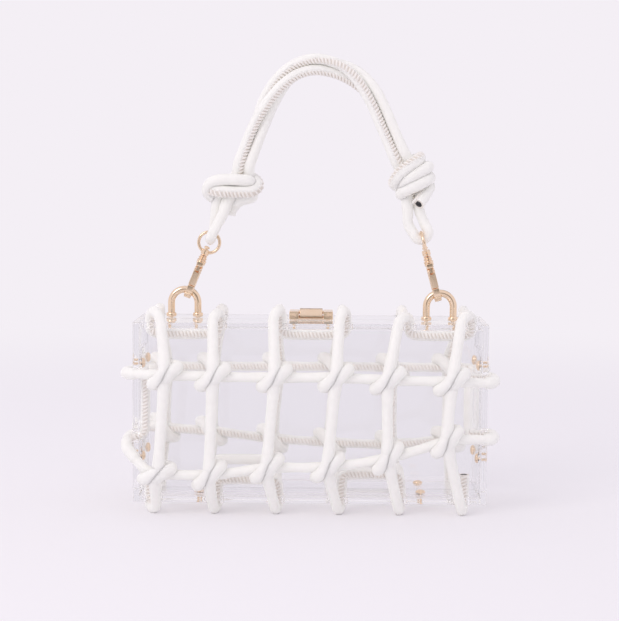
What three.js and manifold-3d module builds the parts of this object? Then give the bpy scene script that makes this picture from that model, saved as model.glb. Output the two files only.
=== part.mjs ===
// Clear box handbag: two clear acrylic half shells joined by a soft hinge film and laced in a net of round
// leather cord, with a flip clasp, D-rings, snap hooks and a knotted handle of three strands of cord.
// Millimetres, +Z up, front towards -Y. The bag stands at z = 0 on the cord loops under its floor.
import * as THREE from 'three';
import { mergeVertices } from 'three/addons/utils/BufferGeometryUtils.js';
import Module from 'manifold-3d';

const wasm = await Module();
wasm.setup();

const radians = THREE.MathUtils.degToRad;
const lerp = THREE.MathUtils.lerp;
const point = (x, y, z) => new THREE.Vector3(x, y, z);
const range = (count, make) => Array.from({ length: count }, (_, i) => make(i));
const table = (names, rows) => rows.map((row) => Object.fromEntries(names.map((name, i) => [name, row[i]])));

// Driving dimensions, with angles in degrees
const gap = 0.3; // between neighbouring pieces
const box = { width: 200, depth: 60, height: 102, wall: 3, corner: 2.2, edge: 1 };
const cord = { radius: 3, hole: 3.9, footSquash: 0.5 };
const lace = { inset: 8, bend: 3.6 }; // hole row behind a face, tightest bend
const knot = { steps: 9, lobe: 8.3, lobeAt: 62, reach: 60, straight: 6 };
const rivet = { shank: 1, head: 2.8, dome: 1.6, y: -14, heights: [30, 83.4], across: 63.5 };
const film = { thick: 0.6, width: 37, top: 92, bend: 3 };
const dRing = { x: 73.7, y: -7, span: 7.7, wire: 2.05, legs: 8.2, foot: 3, footHeight: 2.4, pin: 1.2 };
const hook = { eye: 2.6, bar: 2, width: 4, nose: 3.2, height: 18, cap: 2.8, collar: 2.5, collarHeight: 4 };
const hookLean = { left: 22, right: -15 }; // towards the middle of the bag
const gate = { thick: 1.8, knuckle: 1.5, slot: 2, tongue: 1.4, pivot: 13.3, pin: 0.6 };
const swivel = { neck: 0.9, neckTop: 26.4, head: 1.7, headHeight: 1.3, lug: 2.4, lugHeight: 3.4 };
const swivelRing = { radius: 6.1, wire: 0.9 };
const clasp = { width: 25, depth: 7.4, plate: 1, height: 4.8, opening: 14 };
const claspScrew = { x: 9.7, y: -4, radius: 1.2 };
const catchBar = { front: -4.6, back: -3.2, height: 2.2 };
const lever = { width: 13.2, height: 6.2, pin: 1, pinY: 4.4, pinZ: 3.4, knuckle: 2, nose: -7.2, skin: 1.4 };
const sides = { cord: 6, hole: 6, pin: 6, turned: 8 }; // facets of round pieces

// Derived sizes
const boxFloor = 2 * cord.radius - cord.footSquash + gap;
const boxTop = boxFloor + box.height;
const seat = boxTop + gap; // underside of the metal on the top panel
const face = box.depth / 2; // from the seam to the face of either half
const side = box.width / 2;
const laceY = lace.inset - face;
const offFace = cord.radius + gap; // from a wall to the middle line of a cord on it
const offCord = 2 * cord.radius + gap; // between the middle lines of two cords on each other
const barY = -face - offFace - offCord; // the cross runs ride over the strand behind each knot

// Columns of a net from left to right: where the cord goes over the top edge, how high its middle is over the top
// panel there, and where it goes down its hole. Then its knots on the upper and lower cross runs, and where it
// goes under the bottom edge and up its hole.
const columnNames = ['top', 'loop', 'hole', 'upperX', 'upperZ', 'lowerX', 'lowerZ', 'bottom', 'foot'];
const frontColumns = table(columnNames, [
  [-84.2, 6.1, -90.6, -80.8, 79.3, -85.2, 24, -86.4, -91],
  [-54.7, 5, -51, -54.1, 78.7, -55.9, 23.3, -54.3, -52.5],
  [-20.9, 6.9, -16.5, -19.8, 78.4, -23.8, 27.5, -19.6, -18],
  [16.2, 7, 20, 14.3, 78.7, 10.2, 28.5, 15.6, 18],
  [49.1, 3.9, 55.5, 43.1, 77.5, 43.7, 33.8, 50, 51.5],
  [84.1, 5, 90.6, 78.7, 77, 76.4, 43.4, 85.4, 87.5],
]);
// The back net is seen from behind.
const backColumns = table(columnNames, [
  [-90.5, 3.3, -90, -82.5, 76, -83, 32.5, -84, -85],
  [-53.4, 3.3, -54, -49, 75.9, -49, 29.2, -52, -53],
  [-18.5, 3.3, -18, -14, 76, -11.5, 30, -13, -15],
  [20.3, 3.3, 18, 19.2, 75.9, 23, 32, 22, 20],
  [52.6, 3.3, 54, 58.5, 75.5, 60, 36.2, 60, 58],
  [90.5, 3.3, 90, 87, 75.3, 88.5, 38, 90, 90],
]);
// Heights at which the cross runs turn round the upright edges and pass through the side walls.
const frontEnds = {
  upper: { left: 79.3, leftHole: 79.3, right: 75.7, rightHole: 77.2 },
  lower: { left: 35, leftHole: 42.7, right: 43.7, rightHole: 45 },
};
const backEnds = {
  upper: { left: 76, leftHole: 77, right: 75, rightHole: 76 },
  lower: { left: 34, leftHole: 38, right: 39.5, rightHole: 42 },
};
const inside = { arches: [18, 21.5], leftEnd: 18.5, rightEnd: 22, crossEnd: 90.5 }; // loose cord in the box

// The handle: middle line of its three strands across the bag and upwards, with how far they are twisted round
// it there, and how far they are from it.
const archLine = [
  [-39.4, 196, 0], [-36, 206, 5], [-32.6, 216, 18], [-28.6, 226, 40], [-23.6, 235.6, 64], [-17, 244.3, 84],
  [-9, 250.6, 103], [0, 253.7, 122], [9, 253.4, 142], [17, 251, 163], [24.5, 246.3, 190], [31.5, 239, 218],
  [37.3, 229.5, 234], [42.3, 218.5, 240], [46.5, 209, 240], [49, 203.3, 240],
];
const strandSpread = 3.6;
const strandStarts = [30, 150, 270]; // where each strand starts beside the middle line
// In each knot two strands pass from the arch to the loop below, and the third ends in wraps round them. A row
// says how far to the right, up and to the front of the knot's middle it is, before the knot is tilted.
const knots = {
  left: {
    x: -45.8,
    y: 5,
    z: 184.6,
    tilt: 0,
    through: [
      [[2.2, 6, 0.2], [-2.6, 0.5, -0.5], [-7, -5, -1.2], [-9, -9.5, -1.8], [-10, -16, -2.2]],
      [[8.8, 6, 0.2], [5, 0.5, -0.3], [0.6, -5, 0.2], [-3.2, -9.8, 1.8], [-5.3, -16, 2.6]],
    ],
    third: [
      [6.8, 8, -6.2], [9.6, 4.8, -5], [13.3, 2.2, -0.8], [14.3, -0.6, 2.6], [11.5, -3.3, 5.4], [5, -3.9, 6.5],
      [-2, -3.8, 6.5], [-8, -3.5, 5.8], [-11.6, -2.7, 2], [-9.8, -1.2, -3.8], [-5, -0.5, -6.3],
    ],
    wraps: [
      [
        [-6, -0.5, -6.1], [4, -0.4, -6.6], [9.6, -0.6, -4.4], [10.2, 0.8, 0.4], [9.6, 2.4, 4.4], [5, 3, 6.5],
        [-2, 3.3, 6.6], [-8, 2.9, 6.2], [-12.4, 1.2, 5], [-14.6, -2.4, 2.8], [-13.4, -6, -0.8], [-8, -7.6, -4.6],
        [0, -7.4, -6.4], [7.5, -6.8, -4.8], [11.2, -6.6, -1.4], [9.2, -7.3, 1.2], [4.2, -8.8, 0.4],
        [0.8, -11.8, -2.6], [-0.9, -14, -3.9], [-1.8, -17.1, -4.4],
      ],
    ],
  },
  right: {
    x: 56.5,
    y: -5.8,
    z: 189.8,
    tilt: 31,
    through: [
      [[3.4, 8, 0.2], [3.1, 1, -0.4], [1.6, -5.5, -1], [-1.5, -11, -3.6], [-4.8, -16.8, -2.4]],
      [[-2.9, 8, 0.2], [-3.3, 1, -0.3], [-5.4, -5.5, -0.3], [-9, -10.6, 0], [-11.9, -16.4, 0]],
    ],
    third: [
      [1.6, 9.5, -6.4], [6.5, 7.8, -5.6], [9.6, 7, -0.8], [7.4, 6.6, 4.4], [1.5, 6.3, 6.5], [-4.5, 5.4, 6],
      [-8.8, 3.2, 3.6], [-9.8, 0.9, -0.6], [-7.2, 0.2, -5.2], [-1.5, 0.6, -6.6],
    ],
    wraps: [
      [
        [-3.5, 0.5, -6.4], [2, 0.7, -6.6], [7.5, 0.7, -5.4], [11.2, 0.5, -1.2], [10.2, 0.3, 3.8], [5, 0.3, 6.3],
        [-1, 0.2, 6.2], [-5.2, -0.4, 4.4], [-7.6, -0.8, 1.4],
      ],
      [
        [7.5, -4.8, -5], [9.2, -5.3, -0.6], [7.4, -5.4, 4.2], [2, -5.4, 6.6], [-3.5, -4.8, 6.4], [-8.2, -4.6, 4],
        [-9.8, -5.2, -0.4], [-7, -6.4, -4.8], [-1.5, -7.2, -6.6],
      ],
      [[-3, -7, -6.6], [3, -8.3, -6.2], [6.6, -9.4, -3.6], [3.8, -11.3, 0.4], [0, -13.2, 4.2], [-4.4, -14.7, 8]],
    ],
  },
};
const rightLegs = [[65, 162.5], [55, 163.5]]; // where the legs of the right loop stand widest

// Finishes
const finish = (color, roughness, metalness, opacity = 1) => () =>
  new THREE.MeshStandardMaterial({ color, roughness, metalness, opacity, transparent: opacity < 1 });
const acrylic = finish(0xe6e3ec, 0.04, 0, 0.3);
const softFilm = finish(0xe8e6ee, 0.15, 0, 0.35);
const whiteLeather = finish(0xf2efec, 0.55, 0);
const gold = finish(0xd9b27c, 0.18, 1);

// A closed geometry as a solid that can be joined and cut, and back.
function solid(geometry) {
  const bare = geometry.clone();
  bare.deleteAttribute('normal');
  bare.deleteAttribute('uv');
  const merged = mergeVertices(bare, 1e-3);
  const vertProperties = merged.attributes.position.array;
  const triVerts = new Uint32Array(merged.index.array);
  return new wasm.Manifold(new wasm.Mesh({ numProp: 3, vertProperties, triVerts }));
}

function geometryOf(made) {
  const { vertProperties, triVerts } = made.getMesh();
  return new THREE.BufferGeometry()
    .setAttribute('position', new THREE.BufferAttribute(vertProperties, 3))
    .setIndex(new THREE.BufferAttribute(triVerts, 1));
}

const join = (solids) => solids.reduce((whole, piece) => whole.add(piece));
const cut = (whole, tools) => tools.reduce((rest, tool) => rest.subtract(tool), whole);

function mesh(name, shape, material) {
  const made = new THREE.Mesh(shape.isBufferGeometry ? shape : geometryOf(shape), material());
  made.name = name;
  return made;
}

// Plain shapes in place
function block([x0, x1], [y0, y1], [z0, z1]) {
  const geometry = new THREE.BoxGeometry(x1 - x0, y1 - y0, z1 - z0);
  return solid(geometry.translate((x0 + x1) / 2, (y0 + y1) / 2, (z0 + z1) / 2));
}

function rod(axis, radius, length, facets, x, y, z) {
  const geometry = new THREE.CylinderGeometry(radius, radius, length, facets);
  if (axis === 'x') geometry.rotateZ(Math.PI / 2);
  if (axis === 'z') geometry.rotateX(Math.PI / 2);
  return solid(geometry.translate(x, y, z));
}

// A turned piece: a profile of [radius, height] pairs that starts and ends on its axis, which points up.
function turned(profile, facets) {
  const points = profile.map(([radius, height]) => new THREE.Vector2(radius, height));
  return new THREE.LatheGeometry(points, facets).rotateX(Math.PI / 2);
}

// A flat outline of [y, z] pairs, as thick as width along X.
function plate(outline, width) {
  const shape = new THREE.Shape(outline.map(([y, z]) => new THREE.Vector2(y, z)));
  const geometry = new THREE.ExtrudeGeometry(shape, { depth: width, bevelEnabled: false });
  return solid(geometry.translate(0, 0, -width / 2).rotateX(Math.PI / 2).rotateZ(Math.PI / 2));
}

// Points along an arc in a plane, as pairs
const arc = (across, up, radius, from, to, steps) =>
  range(steps + 1, (i) => {
    const angle = radians(lerp(from, to, i / steps));
    return [across + radius * Math.cos(angle), up + radius * Math.sin(angle)];
  });

// A round cord or wire along a list of points, with one ring of its skin at each point.
function tube(points, radius = cord.radius, facets = sides.cord) {
  const route = new THREE.CatmullRomCurve3(points, false, 'centripetal');
  route.getUtoTmapping = (u) => u;
  const corners = arc(0, 0, radius, 0, 360 - 360 / facets, facets - 1);
  const section = new THREE.Shape(corners.map(([x, y]) => new THREE.Vector2(x, y)));
  const steps = points.length - 1;
  return new THREE.ExtrudeGeometry(section, { steps, extrudePath: route, bevelEnabled: false });
}

// The way of a cord round an edge of the box and into the hole behind it: how far its middle line is behind the
// half's face and beyond the side that it turns onto. It moves along the edge before it meets the hole.
const lacing = [
  ...arc(box.edge, -box.edge, box.edge + offFace, 150, 90, 2),
  ...arc(lace.inset - lace.bend, offFace - lace.bend, lace.bend, 90, 0, 2),
  [lace.inset, gap - box.wall],
];
const lacingShift = (i) => Math.min(1, i / (lacing.length - 3));

// The rest of a quarter bend out of a hole: along the run that follows, and away from the hole.
const bend = arc(0, 0, lace.bend, 45, 90, 1).map(([short, away]) => [lace.bend - short, away]);

// One turn of an upright round a cross run: down in front to the lower left, up behind, over at the upper right
// and down in front again. The turn leans with the cross run's slope.
function knotRoute({ x, z, slope }) {
  const sweep = 360 + 2 * knot.reach;
  const radius = offCord / Math.cos(radians(sweep / knot.steps / 2));
  return range(knot.steps + 1, (i) => {
    const turn = (sweep * i) / knot.steps - knot.reach;
    const toLobe = (turn + knot.reach) / (knot.lobeAt + knot.reach);
    const behind = (turn - knot.lobeAt) / (180 - knot.lobeAt) - 1;
    const fromLobe = (360 + knot.reach - turn) / (knot.lobeAt + knot.reach);
    const along = knot.lobe * (toLobe < 1 ? -toLobe : Math.min(behind, fromLobe));
    const up = -radius * Math.sin(radians(turn));
    return point(
      x + along * Math.cos(slope) - up * Math.sin(slope),
      barY - radius * Math.cos(radians(turn)),
      z + along * Math.sin(slope) + up * Math.cos(slope),
    );
  });
}

// The knots of one cross run with the slope of the run at each.
function runKnots(columns, row) {
  const stops = columns.map((column) => ({ x: column[row + 'X'], z: column[row + 'Z'] }));
  return stops.map((stop, i) => {
    const before = stops[i - 1] ?? stop;
    const after = stops[i + 1] ?? stop;
    return { ...stop, slope: Math.atan2(after.z - before.z, after.x - before.x) };
  });
}

// One column of the net, from its hole in the top panel over the front to its hole in the floor.
function columnRoute({ top, loop, hole, bottom, foot }, upper, lower) {
  const turnEdge = (edgeX, holeX, panel, height, out) =>
    lacing.map(([behind, beyond], i) => {
      const rise = beyond > 0 ? (beyond * height) / offFace : beyond;
      return point(lerp(edgeX, holeX, lacingShift(i)), behind - face, panel + out * rise);
    });
  return [
    ...turnEdge(top, hole, boxTop, loop, 1).reverse(),
    ...knotRoute(upper),
    ...knotRoute(lower),
    ...turnEdge(bottom, foot, boxFloor, offFace, -1),
  ];
}

// The cord of all columns: up and down in turn, with runs under the top panel and loose arches over the floor.
function uprightRoute(columns) {
  const upper = runKnots(columns, 'upper');
  const lower = runKnots(columns, 'lower');
  const across = (fromX, toX, z, rise) => [
    ...bend.map(([run, away]) => point(fromX + run, laceY, z + rise * away)),
    ...bend.map(([run, away]) => point(toX - run, laceY, z + rise * away)).reverse(),
  ];
  const route = [point(columns[0].foot, laceY, inside.leftEnd)];
  columns.forEach((column, i) => {
    const next = columns[i + 1];
    const down = columnRoute(column, upper[i], lower[i]);
    if (i % 2 === 0) {
      route.push(...down.reverse(), ...across(column.hole, next.hole, boxTop - box.wall + gap, -1));
    } else if (next) {
      const archFoot = inside.arches[(i - 1) / 2] - lace.bend;
      route.push(...down, ...across(column.foot, next.foot, archFoot, 1));
    } else {
      route.push(...down, point(column.foot, laceY, inside.rightEnd));
    }
  });
  return route;
}

// The cord of the two cross runs, from its upper right end to its lower right end, with an upright run inside
// the left wall between them.
function crossRoute(columns, { upper, lower }) {
  const turnEdge = (hand, faceZ, holeZ) =>
    lacing.map(([behind, beyond], i) =>
      point(hand * (side + beyond), behind - face, lerp(faceZ, holeZ, lacingShift(i))),
    );
  const past = (row) => {
    const stops = runKnots(columns, row);
    const along = ({ x, z, slope }, reach) =>
      point(x + reach * Math.cos(slope), barY, z + reach * Math.sin(slope));
    return [
      along(stops[0], -knot.straight),
      ...stops.map((stop) => along(stop, 0)),
      along(stops.at(-1), knot.straight),
    ];
  };
  const wallX = -side + box.wall - gap;
  return [
    point(inside.crossEnd, laceY, upper.rightHole),
    ...turnEdge(1, upper.right, upper.rightHole).reverse(),
    ...past('upper').reverse(),
    ...turnEdge(-1, upper.left, upper.leftHole),
    ...bend.map(([run, away]) => point(wallX + away, laceY, upper.leftHole - run)),
    ...bend.map(([run, away]) => point(wallX + away, laceY, lower.leftHole + run)).reverse(),
    ...turnEdge(-1, lower.left, lower.leftHole).reverse(),
    ...past('lower'),
    ...turnEdge(1, lower.right, lower.rightHole),
    point(inside.crossEnd, laceY, lower.rightHole),
  ];
}

// Half of the box: an open tray with rounded edges, drilled for its cords, rivets and pins.
function halfShell(columns, ends) {
  const { depth, height, wall, corner, edge } = box;
  const turn = corner - edge;
  const turnX = side - corner;
  const turnZ = height / 2 - corner;
  const outline = new THREE.Shape()
    .absarc(turnX, turnZ, turn, 0, Math.PI / 2)
    .absarc(-turnX, turnZ, turn, Math.PI / 2, Math.PI)
    .absarc(-turnX, -turnZ, turn, Math.PI, 1.5 * Math.PI)
    .absarc(turnX, -turnZ, turn, 1.5 * Math.PI, 2 * Math.PI);
  const rounded = new THREE.ExtrudeGeometry(outline, {
    depth: depth - 2 * edge,
    curveSegments: 1,
    bevelThickness: edge,
    bevelSize: edge,
    bevelSegments: 1,
  });
  const whole = solid(rounded.rotateX(Math.PI / 2).center().translate(0, 0, boxFloor + height / 2));
  const hollow = block([wall - side, side - wall], [wall - face, face], [boxFloor + wall, boxTop - wall]);
  const otherHalf = block([-2 * side, 2 * side], [-gap / 2, 2 * face], [0, 2 * boxTop]);
  const cordHole = (axis, ...place) => rod(axis, cord.hole, 2 * wall, sides.hole, ...place);
  const pinHole = (axis, pin, ...place) => rod(axis, pin + gap, 2 * wall, sides.pin, ...place);
  const walls = [-side + wall / 2, side - wall / 2];
  const lid = boxTop - wall / 2;
  const floor = boxFloor + wall / 2;
  return cut(whole, [
    hollow,
    otherHalf,
    ...columns.map(({ hole }) => cordHole('z', hole, laceY, lid)),
    ...columns.map(({ foot }) => cordHole('z', foot, laceY, floor)),
    ...Object.values(ends).flatMap(({ leftHole, rightHole }) => [
      cordHole('x', walls[0], laceY, leftHole),
      cordHole('x', walls[1], laceY, rightHole),
    ]),
    ...walls.flatMap((x) => rivet.heights.map((z) => pinHole('x', rivet.shank, x, rivet.y, z))),
    ...[-1, 1].flatMap((hand) => [
      pinHole('z', rivet.shank, hand * rivet.across, rivet.y, floor),
      pinHole('z', dRing.pin, dRing.x + hand * dRing.span, dRing.y, lid),
      pinHole('z', claspScrew.radius, hand * claspScrew.x, claspScrew.y, lid),
    ]),
  ]);
}

// Rivets of one half, with their shanks flush with the outside of the wall and their heads on the film.
function rivets(name) {
  const grip = box.wall + film.thick + 2 * gap;
  const { shank, head, dome, y, heights, across } = rivet;
  const profile = [[0, 0], [shank, 0], [shank, grip], [head, grip], [0, grip + dome]];
  const made = () => turned(profile, sides.pin);
  const places = [
    ...heights.flatMap((z, i) => [
      [`left_${i + 1}`, made().rotateY(Math.PI / 2).translate(-side, y, z)],
      [`right_${i + 1}`, made().rotateY(-Math.PI / 2).translate(side, y, z)],
    ]),
    ...[-1, 1].map((hand, i) => [`floor_${i + 1}`, made().translate(hand * across, y, boxFloor)]),
  ];
  return places.map(([place, geometry]) => mesh(`rivet_${name}_${place}`, geometry, gold));
}

// A D-ring: a U of thick wire on two flanged feet with pins through the top panel.
function dRingSolid() {
  const { x, y, span, wire, legs, foot, footHeight, pin } = dRing;
  const footX = [x - span, x + span];
  const neck = 0.8 * foot;
  const profile = [
    [0, -box.wall],
    [pin, -box.wall],
    [pin, gap],
    [neck, gap],
    [foot, gap + footHeight / 2],
    [neck, gap + footHeight],
    [0, gap + footHeight],
  ];
  const bow = arc(x, seat + legs, span, 180, 0, 6).map(([bowX, z]) => point(bowX, y, z));
  const [left, right] = footX.map((legX) => point(legX, y, seat + footHeight / 2));
  return join([
    solid(tube([left, ...bow, right], wire)),
    ...footX.map((legX) => solid(turned(profile, sides.pin).translate(legX, y, boxTop))),
  ]);
}

// One half of the bag, facing -Y: tray, net cords, rivets and D-ring. Its weight flattens the loops under it.
function half(name, columns, ends, ringName) {
  const group = new THREE.Group();
  const ground = block([-2 * side, 2 * side], [-2 * face, face], [-2 * cord.radius, 0]);
  group.add(
    mesh(`${name}_shell`, halfShell(columns, ends), acrylic),
    mesh(`${name}_upright_cord`, cut(solid(tube(uprightRoute(columns))), [ground]), whiteLeather),
    mesh(`${name}_cross_cord`, tube(crossRoute(columns, ends)), whiteLeather),
    mesh(ringName, dRingSolid(), gold),
    ...rivets(name),
  );
  return group;
}

// The hinge film: one strip down the left wall, across the floor and up the right wall, punched for the rivets.
function hingeFilm() {
  const { thick, bend: turn, width, top } = film;
  const outerX = side - box.wall - gap;
  const floor = boxFloor + box.wall + gap;
  const turnX = outerX - thick - turn;
  const turnZ = floor + thick + turn;
  const outline = [
    [-outerX, top],
    ...arc(-turnX, turnZ, turn + thick, 180, 270, 3),
    ...arc(turnX, turnZ, turn + thick, 270, 360, 3),
    [outerX, top],
    [outerX - thick, top],
    ...arc(turnX, turnZ, turn, 360, 270, 3),
    ...arc(-turnX, turnZ, turn, 270, 180, 3),
    [thick - outerX, top],
  ];
  const strip = plate(outline, width).rotate([0, 0, -90]);
  const punch = (axis, ...place) => rod(axis, rivet.shank + 2 * gap, 4 * thick, 4, ...place);
  const holes = [-1, 1].flatMap((hand) =>
    [-rivet.y, rivet.y].flatMap((y) => [
      ...rivet.heights.map((z) => punch('x', hand * (outerX - thick / 2), y, z)),
      punch('z', hand * rivet.across, y, floor + thick / 2),
    ]),
  );
  return cut(strip, holes);
}

// A snap hook in its own frame: the D-ring's wire runs along X through the origin, and the body goes up from
// there to the swivel ring. The gate closes the front of the hook and turns on a pin under its cap.
function snapHook(name, ringTurn) {
  const { eye, bar, width, nose, height, cap, collar, collarHeight } = hook;
  const outer = eye + bar;
  const profile = [
    [-outer, nose],
    ...arc(0, 0, outer, 180, 360, 6),
    [outer, height],
    [-outer, height],
    [-outer, height - cap],
    [eye, height - cap],
    ...arc(0, 0, eye, 360, 180, 6),
    [-eye, nose],
  ];
  const gateY = -eye - gate.thick / 2;
  const gateDepth = [-eye - gate.thick, -eye];
  const tongueFoot = gate.pivot - gate.thick / 2;
  const collarTop = height + collarHeight;
  const neckLength = swivel.neckTop - collarTop + 2 * gap;
  const body = join([
    plate(profile, width),
    block([-gate.tongue / 2, gate.tongue / 2], gateDepth, [tongueFoot, height - cap / 2]),
    rod('x', gate.pin, width - 2 * gap, sides.pin, 0, gateY, gate.pivot),
    rod('z', collar, collarHeight + cap / 2, sides.turned, 0, 0, height + (collarHeight - cap / 2) / 2),
    rod('z', swivel.neck, neckLength, sides.pin, 0, 0, (swivel.neckTop + collarTop) / 2),
    rod('z', swivel.head, swivel.headHeight, sides.pin, 0, 0, swivel.neckTop + swivel.headHeight / 2),
  ]);

  const gateFoot = gateDepth.map((y) => [y, nose + gap]);
  const gateBar = plate([...gateFoot, ...arc(gateY, gate.pivot, gate.knuckle, -50, 230, 5)], width);
  const slotFoot = gate.pivot - gate.knuckle - gap;
  const slot = block([-gate.slot / 2, gate.slot / 2], [-2 * outer, 0], [slotFoot, height]);
  const pinBore = rod('x', gate.pin + gap, 2 * width, sides.pin, 0, gateY, gate.pivot);

  const lugZ = collarTop + gap + swivel.lugHeight / 2;
  const loop = new THREE.TorusGeometry(swivelRing.radius, swivelRing.wire, 5, 14).rotateX(Math.PI / 2);
  const ring = join([
    solid(loop.rotateZ(ringTurn).translate(0, 0, lugZ + swivelRing.radius)),
    rod('z', swivel.lug, swivel.lugHeight, sides.turned, 0, 0, lugZ),
  ]);
  const lugBore = rod('z', swivel.neck + gap, 2 * swivel.lugHeight, sides.pin, 0, 0, lugZ);

  const group = new THREE.Group();
  group.add(
    mesh(`hook_body_${name}`, body, gold),
    mesh(`hook_gate_${name}`, cut(gateBar, [slot, pinBore]), gold),
    mesh(`hook_ring_${name}`, cut(ring, [lugBore]), gold),
  );
  return group;
}

// Hangs a snap hook on the bow of a D-ring.
function hangHook(name, hand, ringTurn) {
  const group = snapHook(name, ringTurn);
  const lean = radians(hookLean[name]);
  const bowX = dRing.span * Math.sin(lean);
  const bowZ = dRing.span * Math.cos(lean);
  group.position.set(hand * dRing.x + bowX, hand * dRing.y, seat + dRing.legs + bowZ);
  group.rotation.y = lean;
  group.updateMatrix();
  return group;
}

// A clasp holder on the front side of the seam: a base plate with a raised block at each end and two screws.
function claspHolder() {
  const { width, depth, plate: plateHeight, height, opening } = clasp;
  const plateDepth = [-depth, -gap];
  const screw = (hand) => {
    const { x, y, radius } = claspScrew;
    return rod('z', radius, box.wall + plateHeight, sides.pin, hand * x, y, seat + (plateHeight - box.wall) / 2);
  };
  return join([
    block([-width / 2, width / 2], plateDepth, [seat, seat + plateHeight]),
    block([-width / 2, -opening / 2], plateDepth, [seat, seat + height]),
    block([opening / 2, width / 2], plateDepth, [seat, seat + height]),
    screw(-1),
    screw(1),
  ]);
}

// The clasp's lever: an arched cover that turns on the pin of the back holder and hooks over the bar of the
// front one. Its outline goes from the knuckle over the arch to the lip in front and back inside.
function claspLever() {
  const { width, height, pin, pinY, pinZ, knuckle, nose, skin } = lever;
  const lipFoot = clasp.plate + gap;
  const crownY = pinY - 5;
  const outline = [
    ...arc(pinY, pinZ, knuckle, -120, 40, 5),
    [pinY - 1, height - 0.6],
    [crownY, height],
    [nose + 3, height - 0.2],
    [nose + 0.9, height - skin],
    [nose + 0.6, height - 2.6],
    [nose, lipFoot],
    [nose + 2, lipFoot],
    [nose + 2.8, height - skin - 0.8],
    [crownY, height - skin],
  ];
  const bore = rod('x', pin + gap, 2 * width, sides.turned, 0, pinY, pinZ);
  return cut(plate(outline, width), [bore]).translate([0, 0, seat]);
}

// The handle cord: three twisted strands over the arch, a loop through the hook ring and a knot at each end, and
// its two cut ends.
function handleCord(hooks) {
  const inKnot = ({ x, y, z, tilt }) => ([right, up, front]) => {
    const tilted = new THREE.Vector2(right, up).rotateAround(new THREE.Vector2(), radians(tilt));
    return point(x + tilted.x, y - front, z + tilted.y);
  };
  const arch = new THREE.SplineCurve(archLine.map(([x, z]) => new THREE.Vector2(x, z)));
  const last = archLine.length - 1;
  const archStrand = (start) =>
    range(archLine.length, (i) => {
      const outward = arch.getTangent(i / last).rotateAround(new THREE.Vector2(), Math.PI / 2);
      const turn = radians(start + archLine[i][2]);
      const at = arch.getPoint(i / last).addScaledVector(outward, strandSpread * Math.cos(turn));
      return point(at.x, lerp(knots.left.y, knots.right.y, i / last) - strandSpread * Math.sin(turn), at.y);
    });
  const ringTop = hook.height + hook.collarHeight + gap + swivel.lugHeight / 2 + 2 * swivelRing.radius;
  const loopRadius = swivelRing.wire + gap + cord.radius;
  const loop = (group, place) =>
    arc(0, ringTop, loopRadius, -100, 0, 2).map(([out, z]) => place(out, z).applyMatrix4(group.matrix));
  const leftLeg = (i, hand) => [
    ...loop(hooks.left, (out, z) => point(0, hand * out, z)),
    ...knots.left.through[i].map(inKnot(knots.left)).reverse(),
  ];
  const rightLeg = (i, hand) => [
    ...knots.right.through[i].map(inKnot(knots.right)),
    point(rightLegs[i][0], knots.right.y, rightLegs[i][1]),
    ...loop(hooks.right, (out, z) => point(hand * out, 0, z)).reverse(),
  ];
  const strands = [
    [...leftLeg(0, 1), ...archStrand(strandStarts[0]), ...knots.right.third.map(inKnot(knots.right))],
    [...leftLeg(1, -1), ...archStrand(strandStarts[1]), ...rightLeg(0, 1)],
    [...knots.left.third.map(inKnot(knots.left)).reverse(), ...archStrand(strandStarts[2]), ...rightLeg(1, -1)],
  ];
  const wraps = Object.values(knots).flatMap((made) => made.wraps.map((rows) => rows.map(inKnot(made))));
  return join([...strands, ...wraps].map((points) => solid(tube(points))));
}

const bag = new THREE.Group();
const front = half('front', frontColumns, frontEnds, 'd_ring_right');
const back = half('back', backColumns, backEnds, 'd_ring_left');
back.rotation.z = Math.PI;
bag.add(front, back, mesh('hinge_film', hingeFilm(), softFilm));

const hooks = { left: hangHook('left', -1, 0), right: hangHook('right', 1, Math.PI / 2) };
bag.add(hooks.left, hooks.right, mesh('handle_cord', handleCord(hooks), whiteLeather));

const barSpan = [-clasp.opening / 2, clasp.opening / 2];
const bar = block(barSpan, [catchBar.front, catchBar.back], [seat, seat + catchBar.height]);
const pinLength = clasp.opening + clasp.plate;
const claspPin = rod('x', lever.pin, pinLength, sides.turned, 0, lever.pinY, seat + lever.pinZ);
bag.add(
  mesh('clasp_catch', claspHolder().add(bar), gold),
  mesh('clasp_base', claspHolder().rotate([0, 0, 180]).add(claspPin), gold),
  mesh('clasp_lever', claspLever(), gold),
);

export default bag;
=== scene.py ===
# Clear box handbag: two halves of clear acrylic joined by a soft hinge film and laced in a net of round white
# leather cord, with gold D-rings, snap hooks and a flip clasp, and a knotted handle of three strands of cord.
# Pieces are modelled in millimetres in the CAD frame: +Z up, front towards -Y.
import math

import bmesh
import bpy
from mathutils import Matrix, Vector, geometry


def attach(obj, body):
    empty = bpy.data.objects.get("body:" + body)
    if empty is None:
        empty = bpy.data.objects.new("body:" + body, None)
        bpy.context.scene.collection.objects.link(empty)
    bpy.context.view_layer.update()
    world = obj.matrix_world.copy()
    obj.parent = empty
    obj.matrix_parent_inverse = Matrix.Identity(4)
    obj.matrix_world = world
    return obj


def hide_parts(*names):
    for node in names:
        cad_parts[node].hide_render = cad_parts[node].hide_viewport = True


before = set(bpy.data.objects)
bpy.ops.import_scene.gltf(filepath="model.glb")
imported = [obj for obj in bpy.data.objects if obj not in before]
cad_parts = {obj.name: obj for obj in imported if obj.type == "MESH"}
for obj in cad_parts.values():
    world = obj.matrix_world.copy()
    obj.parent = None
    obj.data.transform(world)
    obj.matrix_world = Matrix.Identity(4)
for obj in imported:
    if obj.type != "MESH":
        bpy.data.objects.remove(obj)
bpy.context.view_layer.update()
scene = bpy.context.scene
MM = 0.001

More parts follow.
